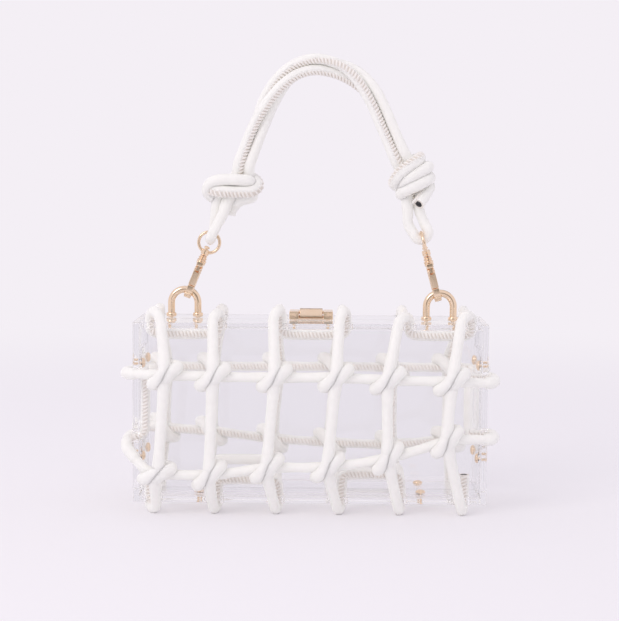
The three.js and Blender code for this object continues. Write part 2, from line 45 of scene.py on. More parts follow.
# Camera: the photograph was taken from about a metre away through a long lens, level with the handle and
# turned a little down to the box.
photo_width_px = 619
focal_px = 1650
sensor_mm = 36
eye = Vector((5.84, -949.69, 194.38)) * MM
yaw = -0.0072
pitch = 0.0857
roll = 0.0078
forward = Vector((math.sin(yaw) * math.cos(pitch), math.cos(yaw) * math.cos(pitch), -math.sin(pitch)))
level = Vector((math.cos(yaw), -math.sin(yaw), 0))
above = level.cross(forward)
right = level * math.cos(roll) + above * math.sin(roll)
up = above * math.cos(roll) - level * math.sin(roll)
photo_lens = bpy.data.cameras.new("photo_camera")
photo_lens.sensor_fit = "HORIZONTAL"
photo_lens.sensor_width = sensor_mm
photo_lens.lens = focal_px / photo_width_px * sensor_mm


def set_in_scene(name, data):
    """A new object in the scene."""
    made = bpy.data.objects.new(name, data)
    scene.collection.objects.link(made)
    return made


photo_camera = set_in_scene("photo_camera", photo_lens)
photo_camera.matrix_world = Matrix.Translation(eye) @ Matrix((right, up, -forward)).transposed().to_4x4()
scene.camera = photo_camera

# Box halves: two open trays of 3 mm clear acrylic, cemented and flame polished, that meet at a seam in mid
# depth. Each is drilled for the cord, the rivets of the hinge film and the pins of the hardware on top.
GAP = 0.3
wall = 3
box_floor = 5.8
box_top = 107.8
side = 100
face = 30
lace_y = -22
cord_radius = 3
cord_hole = 3.9
column_names = ("top", "loop", "hole", "upper_x", "upper_z", "lower_x", "lower_z", "bottom", "foot")
front_columns = [
    dict(zip(column_names, row))
    for row in (
        (-84.2, 6.1, -90.6, -80.8, 79.3, -85.2, 24, -86.4, -91),
        (-54.7, 5, -51, -54.1, 78.7, -55.9, 23.3, -54.3, -52.5),
        (-20.9, 6.9, -16.5, -19.8, 78.4, -23.8, 27.5, -19.6, -18),
        (16.2, 7, 20, 14.3, 78.7, 10.2, 28.5, 15.6, 18),
        (49.1, 3.9, 55.5, 43.1, 77.5, 43.7, 33.8, 50, 51.5),
        (84.1, 5, 90.6, 78.7, 77, 76.4, 43.4, 85.4, 87.5),
    )
]
back_columns = [
    dict(zip(column_names, row))
    for row in (
        (-90.5, 3.3, -90, -82.5, 76, -83, 32.5, -84, -85),
        (-53.4, 3.3, -54, -49, 75.9, -49, 29.2, -52, -53),
        (-18.5, 3.3, -18, -14, 76, -11.5, 30, -13, -15),
        (20.3, 3.3, 18, 19.2, 75.9, 23, 32, 22, 20),
        (52.6, 3.3, 54, 58.5, 75.5, 60, 36.2, 60, 58),
        (90.5, 3.3, 90, 87, 75.3, 88.5, 38, 90, 90),
    )
]
front_ends = {
    "upper": {"left": 79.3, "left_hole": 79.3, "right": 75.7, "right_hole": 77.2},
    "lower": {"left": 35, "left_hole": 42.7, "right": 43.7, "right_hole": 45},
}
back_ends = {
    "upper": {"left": 76, "left_hole": 77, "right": 75, "right_hole": 76},
    "lower": {"left": 34, "left_hole": 38, "right": 39.5, "right_hole": 42},
}
rivet_heights = (30, 83.4)
rivet_across = 63.5
rivet_y = -14
rivet_shank = 1
d_ring_x = 73.7
d_ring_y = -7
d_ring_span = 7.7
d_ring_pin = 1.2
clasp_screw_x = 9.7
clasp_screw_y = -4
clasp_screw_radius = 1.2
half_turn = Matrix.Rotation(math.pi, 4, "Z")
hole_play = 0.15
corner_round = 2.2
rim_round = 1
inner_round = 0.7
seam_round = 0.25
halves = (("front", front_columns, front_ends, Matrix()), ("back", back_columns, back_ends, half_turn))


def linear(hex_colour):
    """An sRGB hex colour as linear red, green, blue and alpha."""
    channels = [int(hex_colour[i : i + 2], 16) / 255 for i in (0, 2, 4)]
    return [c / 12.92 if c <= 0.04045 else ((c + 0.055) / 1.055) ** 2.4 for c in channels] + [1]


def add_node(tree, kind, inputs=(), **settings):
    """A node with its settings, its inputs set to values or linked to other nodes, from their first output
    unless another is given."""
    node = tree.nodes.new(f"ShaderNode{kind}")
    for name, value in settings.items():
        setattr(node, name, value)
    for name, value in dict(inputs).items():
        if isinstance(value, bpy.types.Node):
            value = value.outputs[0]
        if isinstance(value, bpy.types.NodeSocket):
            tree.links.new(value, node.inputs[name])
        else:
            node.inputs[name].default_value = value
    return node


def new_material(name):
    """An empty node material, with its tree and the place that patterns are laid out in."""
    material = bpy.data.materials.new(name)
    material.use_nodes = True
    material.node_tree.nodes.clear()
    place = add_node(material.node_tree, "TexCoord").outputs["Object"]
    return material, material.node_tree, place


def to_mesh(bm, name):
    """A finished shape as a mesh."""
    mesh = bpy.data.meshes.new(name)
    bm.to_mesh(mesh)
    bm.free()
    return mesh


def put_in_place(bm, name, slot, materials, nodes=(), body="bag", matrix=Matrix(), sharp_deg=35, flat=False):
    """Makes a finished shape in millimetres a piece of the bag that rides on a body and stands for CAD nodes.
    A flat one shades its flat faces as flat right up to their rounded edges."""
    bmesh.ops.transform(bm, matrix=Matrix.Scale(MM, 4) @ matrix, verts=bm.verts)
    mesh = to_mesh(bm, name)
    for material in materials:
        mesh.materials.append(material)
    mesh.shade_smooth()
    mesh.set_sharp_from_angle(angle=math.radians(sharp_deg))
    piece = set_in_scene(name, mesh)
    if flat:
        even = piece.modifiers.new("even_faces", "WEIGHTED_NORMAL")
        even.keep_sharp = True
    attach(piece, body)
    if nodes:
        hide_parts(*nodes)
    return piece


def let_light_pass(piece):
    """Lets the light through a clear piece on to the cords and the table, as polished plastic does."""
    piece.visible_diffuse = False
    piece.visible_shadow = False


def add_rod(bm, axis, radius, length, middle, segments=32):
    """A round rod along X or Z."""
    turn = Matrix.Rotation(math.pi / 2, 4, "Y") if axis == "X" else Matrix()
    bmesh.ops.create_cone(bm, cap_ends=True, segments=segments, radius1=radius, radius2=radius, depth=length,
                          matrix=Matrix.Translation(middle) @ turn)


def round_edges(bm, edges, radius, segments):
    """Rounds edges off with a circular bevel."""
    bmesh.ops.bevel(bm, geom=edges, offset=radius, offset_type="OFFSET", affect="EDGES", segments=segments,
                    profile=0.5, material=-1, clamp_overlap=True)


def cut_out(blank, tool):
    """What is left of one solid when another is cut out of it."""
    made = [set_in_scene(name, to_mesh(shape, name)) for name, shape in (("blank", blank), ("tool", tool))]
    drill = made[0].modifiers.new("drill", "BOOLEAN")
    drill.operation = "DIFFERENCE"
    drill.solver = "EXACT"
    drill.object = made[1]
    bpy.context.view_layer.update()
    rest = bmesh.new()
    rest.from_object(made[0], bpy.context.evaluated_depsgraph_get())
    for part in made:
        bpy.data.objects.remove(part)
    return rest


def tray():
    """One half of the box before drilling: a block hollowed from the seam, with its edges rounded."""
    bm = bmesh.new()
    depth = face - GAP / 2
    height = box_top - box_floor
    bmesh.ops.create_cube(bm, size=1)
    bmesh.ops.scale(bm, vec=(2 * side, depth, height), verts=bm.verts)
    bmesh.ops.translate(bm, vec=(0, -GAP / 2 - depth / 2, (box_top + box_floor) / 2), verts=bm.verts)
    bm.faces.ensure_lookup_table()
    seam = [f for f in bm.faces if f.normal.y > 0.5]
    bmesh.ops.inset_region(bm, faces=seam, thickness=wall, use_even_offset=True)
    hollow = bmesh.ops.extrude_discrete_faces(bm, faces=seam)["faces"]
    bmesh.ops.translate(bm, vec=(0, wall - depth, 0), verts=hollow[0].verts)
    bmesh.ops.recalc_face_normals(bm, faces=bm.faces)
    outside = [
        e
        for e in bm.edges
        if all(abs(abs(v.co.x) - side) < 0.01 and v.co.z in (box_floor, box_top) for v in e.verts)
        and abs(e.verts[0].co.y - e.verts[1].co.y) > 1
    ]
    round_edges(bm, outside, corner_round, 6)
    front_rim = [e for e in bm.edges if all(v.co.y < 0.01 - face for v in e.verts)]
    round_edges(bm, front_rim, rim_round, 4)
    inner = [
        e
        for e in bm.edges
        if e.is_manifold
        and not e.is_convex
        and e.calc_face_angle() > 0.8
        and all(abs(v.co.x) < side - 1 for v in e.verts)
    ]
    round_edges(bm, inner, inner_round, 3)
    seam_rim = [e for e in bm.edges if all(v.co.y > -GAP / 2 - 0.01 for v in e.verts)]
    round_edges(bm, seam_rim, seam_round, 2)
    return bm


def drills(columns, ends):
    """The rods that are drilled out of a half for its cords, rivets, D-ring pins and clasp screws."""
    bm = bmesh.new()
    lid = box_top - wall / 2
    floor = box_floor + wall / 2
    for column in columns:
        add_rod(bm, "Z", cord_hole, 2 * wall, (column["hole"], lace_y, lid), 40)
        add_rod(bm, "Z", cord_hole, 2 * wall, (column["foot"], lace_y, floor), 40)
    for hand, hole in ((-1, "left_hole"), (1, "right_hole")):
        wall_x = hand * (side - wall / 2)
        for end in ends.values():
            add_rod(bm, "X", cord_hole, 2 * wall, (wall_x, lace_y, end[hole]), 40)
        for z in rivet_heights:
            add_rod(bm, "X", rivet_shank + hole_play, 2 * wall, (wall_x, rivet_y, z), 20)
        add_rod(bm, "Z", rivet_shank + hole_play, 2 * wall, (hand * rivet_across, rivet_y, floor), 20)
        add_rod(bm, "Z", d_ring_pin + hole_play, 2 * wall, (d_ring_x + hand * d_ring_span, d_ring_y, lid), 20)
        screw_at = (hand * clasp_screw_x, clasp_screw_y, lid)
        add_rod(bm, "Z", clasp_screw_radius + hole_play, 2 * wall, screw_at, 20)
    return bm


# Cast acrylic: clear to the edge, mirror smooth, with faint patches where it is polished a little less.
clear_acrylic, tree, place = new_material("polished_cast_acrylic")
patches = add_node(tree, "TexNoise", {"Vector": place, "Scale": 1 / (45 * MM), "Detail": 1})
polish = add_node(tree, "MapRange", {
    "Value": patches, "From Min": 0.45, "From Max": 0.7, "To Min": 0, "To Max": 0.006,
})
shader = add_node(tree, "BsdfPrincipled", {
    "Base Color": linear("fefefe"), "Roughness": polish, "IOR": 1.49, "Transmission Weight": 1,
})
add_node(tree, "OutputMaterial", {"Surface": shader})

for name, columns, ends, turn in halves:
    half = cut_out(tray(), drills(columns, ends))
    let_light_pass(put_in_place(half, f"{name}_half", "clear_acrylic", [clear_acrylic], [f"{name}_shell"],
                                matrix=turn, flat=True))

# Hinge film: one strip of clear soft vinyl down the left wall, across the floor and up the right wall, bent
# round the corners and punched for the rivets that hold it to both halves.
film_thick = 0.6
film_width = 37
film_top = 92
film_bend = 3
punch_play = 0.3
film_x = side - wall - GAP - film_thick / 2
film_z = box_floor + wall + GAP + film_thick / 2


def arc(across, up, radius, start, end, steps):
    """Pairs along an arc in a plane, by angles in degrees."""
    angles = [math.radians(start + (end - start) * i / steps) for i in range(steps + 1)]
    return [(across + radius * math.cos(a), up + radius * math.sin(a)) for a in angles]


turn_x = film_x - film_bend
turn_z = film_z + film_bend
profile = [(-film_x, film_top)]
profile += arc(-turn_x, turn_z, film_bend, 180, 270, 6)
profile += arc(turn_x, turn_z, film_bend, 270, 360, 6)
profile += [(film_x, film_top)]
film = bmesh.new()
line = [film.verts.new((x, -film_width / 2, z)) for x, z in profile]
edges = [film.edges.new(pair) for pair in zip(line, line[1:])]
strip = bmesh.ops.extrude_edge_only(film, edges=edges)["geom"]
far_side = [g for g in strip if isinstance(g, bmesh.types.BMVert)]
bmesh.ops.translate(film, vec=(0, film_width, 0), verts=far_side)
bmesh.ops.recalc_face_normals(film, faces=film.faces)
bmesh.ops.solidify(film, geom=film.faces[:], thickness=film_thick)
punches = bmesh.new()
for hand in (-1, 1):
    for y in (-rivet_y, rivet_y):
        for z in rivet_heights:
            add_rod(punches, "X", rivet_shank + punch_play, 6 * film_thick, (hand * film_x, y, z), 20)
        add_rod(punches, "Z", rivet_shank + punch_play, 6 * film_thick, (hand * rivet_across, y, film_z), 20)

# Soft vinyl: nearly clear, a little hazy, with shallow waves from being rolled.
clear_vinyl, tree, place = new_material("soft_clear_vinyl")
waves = add_node(tree, "TexNoise", {"Vector": place, "Scale": 1 / (14 * MM), "Detail": 2})
ripple = add_node(tree, "Bump", {"Height": waves, "Strength": 0.02, "Distance": 0.5 * MM})
shader = add_node(tree, "BsdfPrincipled", {
    "Base Color": linear("fcfcfd"), "Roughness": 0.05, "IOR": 1.4, "Transmission Weight": 1, "Normal": ripple,
})
add_node(tree, "OutputMaterial", {"Surface": shader})
film = cut_out(film, punches)
let_light_pass(put_in_place(film, "film_strip", "clear_film", [clear_vinyl], ["hinge_film"]))

# Rivets: twelve turned brass rivets with a low dome inside on the film, spread flush in a hole through the
# acrylic. All the hardware is plated in the same pale gold.
rivet_head = 2.8
rivet_dome = 1.6
rivet_rim = 0.3


def turned(profile, segments=32):
    """A turned shape from [radius, height] pairs that start and end on its axis, which points up, or that go
    round to where they start."""
    bm = bmesh.new()
    points = [bm.verts.new((radius, 0, height)) for radius, height in profile]
    edges = [bm.edges.new(pair) for pair in zip(points, points[1:])]
    bmesh.ops.spin(bm, geom=points + edges, axis=(0, 0, 1), cent=(0, 0, 0), angle=2 * math.pi, steps=segments,
                   use_merge=True)
    bmesh.ops.remove_doubles(bm, verts=bm.verts, dist=1e-4)
    bmesh.ops.recalc_face_normals(bm, faces=bm.faces)
    return bm


# Gold plating on polished zinc: pale, warm and mirror bright, with faint cloudiness and hairline scratches.
gold_plate, tree, place = new_material("polished_pale_gold_plating")
cloud = add_node(tree, "TexNoise", {"Vector": place, "Scale": 1 / (4 * MM), "Detail": 3})
gloss = add_node(tree, "MapRange", {
    "Value": cloud, "From Min": 0.3, "From Max": 0.7, "To Min": 0.1, "To Max": 0.2,
})
stretched = add_node(tree, "Mapping", {"Vector": place, "Scale": (1, 1, 0.15)})
hairlines = add_node(tree, "TexNoise", {"Vector": stretched, "Scale": 1 / (0.35 * MM), "Detail": 2})
scratch = add_node(tree, "Bump", {"Height": hairlines, "Strength": 0.05, "Distance": 0.05 * MM})
tint = add_node(tree, "Mix", {0: cloud, 6: linear("efd3b2"), 7: linear("f6e1ca")}, data_type="RGBA")
shader = add_node(tree, "BsdfPrincipled", {
    "Base Color": tint.outputs[2], "Metallic": 1, "Roughness": gloss, "Normal": scratch,
})
add_node(tree, "OutputMaterial", {"Surface": shader})
gold = ("gold_metal", [gold_plate])

grip = wall + film_thick + 2 * GAP
rivet_profile = [(0, 0), (rivet_shank, 0), (rivet_shank, grip), (rivet_head, grip)]
for i in range(6):
    angle = math.radians(15 * i)
    dome_height = rivet_rim + (rivet_dome - rivet_rim) * math.sin(angle)
    rivet_profile.append((rivet_head * math.cos(angle), grip + dome_height))
rivet_profile.append((0, grip + rivet_dome))
along_x = Matrix.Rotation(math.pi / 2, 4, "Y")
for half_name, turn in (("front", Matrix()), ("back", half_turn)):
    places = []
    for i, z in enumerate(rivet_heights):
        places.append((f"left_{i + 1}", Matrix.Translation((-side, rivet_y, z)) @ along_x))
        places.append((f"right_{i + 1}", Matrix.Translation((side, rivet_y, z)) @ along_x.inverted()))
    for i, hand in enumerate((-1, 1)):
        places.append((f"floor_{i + 1}", Matrix.Translation((hand * rivet_across, rivet_y, box_floor))))
    for where, matrix in places:
        put_in_place(turned(rivet_profile, 24), f"{half_name}_rivet_{where}", *gold,
                     [f"rivet_{half_name}_{where}"], matrix=turn @ matrix)

# D-rings: a U of thick gold wire on two flanged feet, each with a pin through the top panel. The right one is
# on the front half and the left one on the back half.
seat = box_top + GAP
d_ring_wire = 2.05
d_ring_legs = 8.2
d_ring_foot = 3
d_ring_foot_height = 2.4
d_ring_neck = 2.2


def frames_along(points, wanted, turn_per_step=math.radians(4)):
    """A frame at each point of a line. Its X axis, which is the seam's side on a cord, is carried on without
    twist and eased to the side that is wanted there."""
    frames = []
    seam = wanted(points[0])
    for i, at in enumerate(points):
        tangent = (points[min(i + 1, len(points) - 1)] - points[max(i - 1, 0)]).normalized()
        seam = (seam - tangent * seam.dot(tangent)).normalized()
        goal = wanted(at)
        goal = goal - tangent * goal.dot(tangent)
        if goal.length > 0.3:
            error = math.atan2(tangent.dot(seam.cross(goal)), seam.dot(goal))
            ease = max(-turn_per_step, min(turn_per_step, error))
            seam = (Matrix.Rotation(ease, 3, tangent) @ seam).normalized()
        other = tangent.cross(seam)
        frames.append(Matrix.Translation(at) @ Matrix((seam, other, tangent)).transposed().to_4x4())
    return frames


def tube(frames, section, seam_sides=0):
    """A closed section drawn along frames, and the caps at its two ends. The sides next to the section's
    first corner may be a seam, which takes the third material."""
    bm = bmesh.new()
    sides = len(section)
    skin = bmesh.ops.create_grid(bm, x_segments=sides, y_segments=len(frames) - 1, size=1)["verts"]
    for k, v in enumerate(skin):
        i, j = divmod(k, sides + 1)
        v.co = frames[i] @ Vector((*section[j % sides], 0))
    for k, strip in enumerate(bm.faces):
        if min(k % sides, sides - 1 - k % sides) < seam_sides:
            strip.material_index = 2
    bmesh.ops.remove_doubles(bm, verts=skin, dist=1e-4)
    caps = bmesh.ops.holes_fill(bm, edges=[e for e in bm.edges if e.is_boundary])["faces"]
    bmesh.ops.recalc_face_normals(bm, faces=bm.faces)
    return bm, caps


def add_shape(bm, other, matrix=Matrix()):
    """Adds a finished shape to another."""
    bmesh.ops.transform(other, matrix=matrix, verts=other.verts)
    mesh = to_mesh(other, "part")
    bm.from_mesh(mesh)
    bpy.data.meshes.remove(mesh)


def d_ring():
    """A D-ring in place on the front half, with its feet turned and its wire bent round."""
    bm = bmesh.new()
    half = d_ring_foot_height / 2
    foot_profile = [(0, -wall), (d_ring_pin, -wall), (d_ring_pin, GAP), (d_ring_neck, GAP)]
    for i in range(11):
        angle = math.radians(15 * i - 75)
        foot_profile.append((d_ring_foot * 0.8 + 0.6 * math.cos(angle), GAP + half + half * math.sin(angle)))
    foot_profile += [(d_ring_neck, GAP + d_ring_foot_height), (0, GAP + d_ring_foot_height)]
    for hand in (-1, 1):
        foot_at = Matrix.Translation((d_ring_x + hand * d_ring_span, d_ring_y, box_top))
        add_shape(bm, turned(foot_profile, 32), foot_at)
    bow = [(d_ring_x - d_ring_span, seat + 1)]
    bow += arc(d_ring_x, seat + d_ring_legs, d_ring_span, 180, 0, 28)
    bow += [(d_ring_x + d_ring_span, seat + 1)]
    line = [Vector((x, d_ring_y, z)) for x, z in bow]
    wire, _ = tube(frames_along(line, lambda at: Vector((0, 1, 0))), arc(0, 0, d_ring_wire, 0, 345, 23))
    add_shape(bm, wire)
    return bm


put_in_place(d_ring(), "right_d_ring", *gold, ["d_ring_right"])
put_in_place(d_ring(), "left_d_ring", *gold, ["d_ring_left"], matrix=half_turn)

# Clasp: a gold flip clasp across the seam. Two cast holders with raised blocks are screwed to the halves, the
# back one carries the pin of an arched lever and the front one the bar that the lever's lip catches.
clasp_width = 25
clasp_depth = 7.4
clasp_plate = 1
clasp_height = 4.8
clasp_opening = 14
clasp_round = 0.45
catch_bar_y = (-4.6, -3.2)
catch_bar_height = 2.2


def add_block(bm, x, y, z):
    """A block between pairs of limits."""
    middle = [(low + high) / 2 for low, high in (x, y, z)]
    size = [high - low for low, high in (x, y, z)]
    matrix = Matrix.Translation(middle) @ Matrix.Diagonal((*size, 1))
    return bmesh.ops.create_cube(bm, size=1, matrix=matrix)["verts"]


def sharp_edges(bm, verts=None, angle_deg=30):
    """The edges, of all or some vertices, that turn by more than an angle."""
    chosen = set(verts if verts is not None else bm.verts)
    limit = math.radians(angle_deg)
    return [e for e in bm.edges if e.is_manifold and e.calc_face_angle() > limit and set(e.verts) <= chosen]


def slab(outline, width):
    """A flat outline of [y, z] pairs drawn out along X, evenly to both sides."""
    bm = bmesh.new()
    corners = [bm.verts.new((-width / 2, y, z)) for y, z in outline]
    drawn = bmesh.ops.extrude_face_region(bm, geom=[bm.faces.new(corners)])["geom"]
    far = [g for g in drawn if isinstance(g, bmesh.types.BMVert)]
    bmesh.ops.translate(bm, vec=(width, 0, 0), verts=far)
    bmesh.ops.recalc_face_normals(bm, faces=bm.faces)
    return bm


def clasp_holder():
    """A holder on the front side of the seam, a U-shaped casting drawn out along Y."""
    half = clasp_width / 2
    opening = clasp_opening / 2
    outline = [(-half, 0), (half, 0), (half, clasp_height), (opening, clasp_height), (opening, clasp_plate)]
    outline += [(-opening, clasp_plate), (-opening, clasp_height), (-half, clasp_height)]
    bm = slab(outline, clasp_depth - GAP)
    across = Matrix.Translation((0, -(clasp_depth + GAP) / 2, seat)) @ Matrix.Rotation(-math.pi / 2, 4, "Z")
    bmesh.ops.transform(bm, matrix=across, verts=bm.verts)
    round_edges(bm, sharp_edges(bm), clasp_round, 3)
    for hand in (-1, 1):
        middle = (hand * clasp_screw_x, clasp_screw_y, seat + (clasp_plate - wall) / 2)
        add_rod(bm, "Z", clasp_screw_radius, wall + clasp_plate, middle, 24)
    return bm


catch = clasp_holder()
bar = add_block(catch, (-clasp_opening / 2, clasp_opening / 2), catch_bar_y, (seat, seat + catch_bar_height))
round_edges(catch, sharp_edges(catch, bar), 0.4, 3)
put_in_place(catch, "front_clasp_holder", *gold, ["clasp_catch"], flat=True)
lever_pin_y = 4.4
lever_pin_z = 3.4
lever_pin = 1
lever_bore = 1.3
base = clasp_holder()
bmesh.ops.transform(base, matrix=half_turn, verts=base.verts)
add_rod(base, "X", lever_pin, clasp_opening + clasp_plate, (0, lever_pin_y, seat + lever_pin_z), 24)
put_in_place(base, "back_clasp_holder", *gold, ["clasp_base"], flat=True)

lever_width = 13.2
lever_height = 6.2
lever_nose = -7.2
lever_skin = 1.4
lip_foot = clasp_plate + GAP
crown_y = lever_pin_y - 5
outline = arc(lever_pin_y, lever_pin_z, 2, -120, 60, 10)
outline += [
    (lever_pin_y - 0.4, lever_height - 0.75),
    (lever_pin_y - 2.4, lever_height - 0.2),
    (crown_y, lever_height),
    (crown_y - 2.4, lever_height),
    (lever_nose + 2.2, lever_height - 0.3),
    (lever_nose + 1.2, lever_height - 1),
    (lever_nose + 0.7, lever_height - 2.2),
    (lever_nose + 0.3, lip_foot + 1.2),
    (lever_nose, lip_foot),
    (lever_nose + 2, lip_foot),
    (lever_nose + 2.6, lever_height - lever_skin - 1.2),
    (lever_nose + 3.4, lever_height - lever_skin - 0.2),
    (crown_y, lever_height - lever_skin),
]
lever = slab(outline, lever_width)
bore = bmesh.new()
add_rod(bore, "X", lever_bore, 2 * lever_width, (0, lever_pin_y, lever_pin_z), 24)
lever = cut_out(lever, bore)
lever_sides = [v for v in lever.verts if abs(abs(v.co.x) - lever_width / 2) < 0.01]
round_edges(lever, sharp_edges(lever, lever_sides, 60), 0.35, 3)
on_seat = Matrix.Translation((0, 0, seat))
put_in_place(lever, "clasp_flap", *gold, ["clasp_lever"], "clasp_lever", on_seat, flat=True)

# Snap hooks: gold swivel hooks clipped to the D-rings. Each has a flat bow with a sprung gate on its front, a
# grooved collar, and a swivel ring that turns on a headed neck.
hook_eye = 2.6
hook_bar = 2
hook_width = 4
hook_nose = 3.2
hook_height = 18
hook_cap = 2.8
collar_height = 4
gate_thick = 1.8
gate_knuckle = 1.5
gate_pivot = 13.3
gate_tongue = 0.7
gate_slot = 1
gate_pin = 0.6
gate_bore = 0.9
neck_top = 26.4
lug_height = 3.4
collar_steps = (
    (2.6, 0.1), (2.75, 0.35), (2.75, 1.05), (2.1, 1.3), (2.1, 1.7), (2.5, 1.95), (2.5, 2.6), (1.9, 2.85),
    (1.9, 3.2), (2.2, 3.4), (2.2, 3.8), (1.9, collar_height),
)
ring_radius = 6.1
ring_wire = 0.9
lug_z = hook_height + collar_height + GAP + lug_height / 2
hook_outer = hook_eye + hook_bar
gate_y = -hook_eye - gate_thick / 2


def hook_body():
    """The bow with its nose and cap, the gate's tongue and pin, the grooved collar and the headed neck."""
    outline = [(-hook_outer, hook_nose)]
    outline += arc(0, 0, hook_outer, 180, 360, 20)
    outline += [(hook_outer, hook_height), (-hook_outer, hook_height), (-hook_outer, hook_height - hook_cap)]
    outline += [(hook_eye, hook_height - hook_cap)]
    outline += arc(0, 0, hook_eye, 360, 180, 20)
    outline += [(-hook_eye, hook_nose)]
    bm = slab(outline, hook_width)
    round_edges(bm, sharp_edges(bm, angle_deg=60), 0.45, 3)
    tongue = (gate_pivot - gate_thick / 2, hook_height - hook_cap / 2)
    add_block(bm, (-gate_tongue, gate_tongue), (-hook_eye - gate_thick, -hook_eye), tongue)
    add_rod(bm, "X", gate_pin, hook_width - 2 * GAP, (0, gate_y, gate_pivot), 20)
    low = hook_height - hook_cap / 2
    collar = [(0, low), (2.6, low)]
    for radius, height in collar_steps:
        collar.append((radius, hook_height + height))
    collar += [(0.9, hook_height + collar_height), (0.9, neck_top), (1.6, neck_top), (1.7, neck_top + 0.3)]
    collar += [(1.4, neck_top + 1), (0.8, neck_top + 1.25), (0, neck_top + 1.3)]
    add_shape(bm, turned(collar, 28))
    return bm


def hook_gate():
    """The flat gate, whose knuckle is slotted for the tongue and bored for its pin."""
    outline = [(-hook_eye - gate_thick, hook_nose + GAP), (-hook_eye, hook_nose + GAP)]
    outline += arc(gate_y, gate_pivot, gate_knuckle, -50, 230, 14)
    bm = slab(outline, hook_width)
    round_edges(bm, sharp_edges(bm, angle_deg=60), 0.3, 3)
    tool = bmesh.new()
    slot_foot = gate_pivot - gate_knuckle - GAP
    add_block(tool, (-gate_slot, gate_slot), (-9, 0), (slot_foot, hook_height))
    bm = cut_out(bm, tool)
    tool = bmesh.new()
    add_rod(tool, "X", gate_bore, 2 * hook_width, (0, gate_y, gate_pivot), 20)
    return cut_out(bm, tool)


def hook_ring(ring_turn):
    """The swivel ring with the lug that turns on the neck."""
    bm = turned(arc(ring_radius, 0, ring_wire, 0, 360, 16), 48)
    stand = Matrix.Rotation(ring_turn, 4, "Z") @ Matrix.Rotation(math.pi / 2, 4, "X")
    bmesh.ops.transform(bm, matrix=Matrix.Translation((0, 0, lug_z + ring_radius)) @ stand, verts=bm.verts)
    half = lug_height / 2
    lug = [(1.2, -half), (2, -half), (2.4, -half + 0.5), (2.4, half - 0.6), (1.9, half), (1.2, half)]
    add_shape(bm, turned(lug + lug[:1], 28), Matrix.Translation((0, 0, lug_z)))
    return bm


hook_places = {}
for name, hand, lean_deg, ring_turn in (("left", -1, 22, 0), ("right", 1, -15, math.pi / 2)):
    lean = math.radians(lean_deg)
    on_bow = Vector((d_ring_span * math.sin(lean), 0, d_ring_span * math.cos(lean)))
    hang = Vector((hand * d_ring_x, hand * d_ring_y, seat + d_ring_legs)) + on_bow
    hook_places[name] = Matrix.Translation(hang) @ Matrix.Rotation(lean, 4, "Y")
    matrix = hook_places[name]
    put_in_place(hook_body(), f"{name}_hook", *gold, [f"hook_body_{name}"], matrix=matrix, flat=True)
    put_in_place(hook_ring(ring_turn), f"{name}_swivel_ring", *gold, [f"hook_ring_{name}"], matrix=matrix)
    gate = f"hook_gate_{name}"
    put_in_place(hook_gate(), f"{name}_gate", *gold, [gate], gate, matrix, flat=True)

# Net cords: round white leather cord, 6 mm thick, whip stitched along a seam over a dark core. On each half
# an upright cord is laced up and down in six columns and turned once round each of two cross runs.
off_face = cord_radius + GAP
knot_turn = 5.2
bar_y = -face - off_face - knot_turn
lace_inset = 8
lace_bend = 3.6
knot_ease = 1.2
knot_lobe = 7.4
knot_lobe_at = 70
knot_reach = 30
knot_straight = 6
knot_steps = 24
arch_heights = (18, 21.5)
left_end = 18.5
right_end = 22
cross_end = 90.5
lacing = arc(rim_round, -rim_round, rim_round + off_face, 150, 90, 3)
lacing += arc(lace_inset - lace_bend, off_face - lace_bend, lace_bend, 90, 0, 3)
lacing += [(lace_inset, GAP - wall)]
quarter_bend = [(lace_bend - short, away) for short, away in arc(0, 0, lace_bend, 45, 90, 1)]


def mixed(a, b, t):
    """A value between two."""
    return a + (b - a) * t


def lacing_shift(i):
    """How far a cord has moved along the edge that it goes round, at a step of its lacing."""
    return min(1, i / (len(lacing) - 3))


def run_knots(columns, ends, row):
    """The knots of one cross run, with the slope of the run at each."""
    stops = [(-side, ends[row]["left"])]
    stops += [(column[f"{row}_x"], column[f"{row}_z"]) for column in columns]
    stops += [(side, ends[row]["right"])]
    found = []
    for before, (x, z), after in zip(stops, stops[1:], stops[2:]):
        found.append((x, z, math.atan2(after[1] - before[1], after[0] - before[0])))
    return found


def knot_route(x, z, slope):
    """One turn round a cross run: down in front to the lower left, up behind, over and down in front again.
    It is pulled tight, so that the soft cords are pressed into each other."""
    points = []
    for i in range(knot_steps + 1):
        turn = (360 + 2 * knot_reach) * i / knot_steps - knot_reach
        to_lobe = (turn + knot_reach) / (knot_lobe_at + knot_reach)
        behind = (turn - knot_lobe_at) / (180 - knot_lobe_at) - 1
        from_lobe = (360 + knot_reach - turn) / (knot_lobe_at + knot_reach)
        if to_lobe < 1:
            along = -knot_lobe * to_lobe**knot_ease
        elif from_lobe < 1:
            along = knot_lobe * from_lobe**knot_ease
        else:
            along = knot_lobe * behind
        rise = -knot_turn * math.sin(math.radians(turn))
        forward_y = bar_y - knot_turn * math.cos(math.radians(turn))
        across = along * math.cos(slope) - rise * math.sin(slope)
        points.append(Vector((x + across, forward_y, z + along * math.sin(slope) + rise * math.cos(slope))))
    return points


def column_route(column, upper, lower):
    """One column, from its hole in the top panel over the front to its hole in the floor."""

    def turn_edge(edge_x, hole_x, panel, height, out):
        points = []
        for i, (behind, beyond) in enumerate(lacing):
            rise = beyond * height / off_face if beyond > 0 else beyond
            points.append(Vector((mixed(edge_x, hole_x, lacing_shift(i)), behind - face, panel + out * rise)))
        return points

    over_top = turn_edge(column["top"], column["hole"], box_top, column["loop"], 1)
    under_floor = turn_edge(column["bottom"], column["foot"], box_floor, off_face, -1)
    return over_top[::-1] + knot_route(*upper) + knot_route(*lower) + under_floor


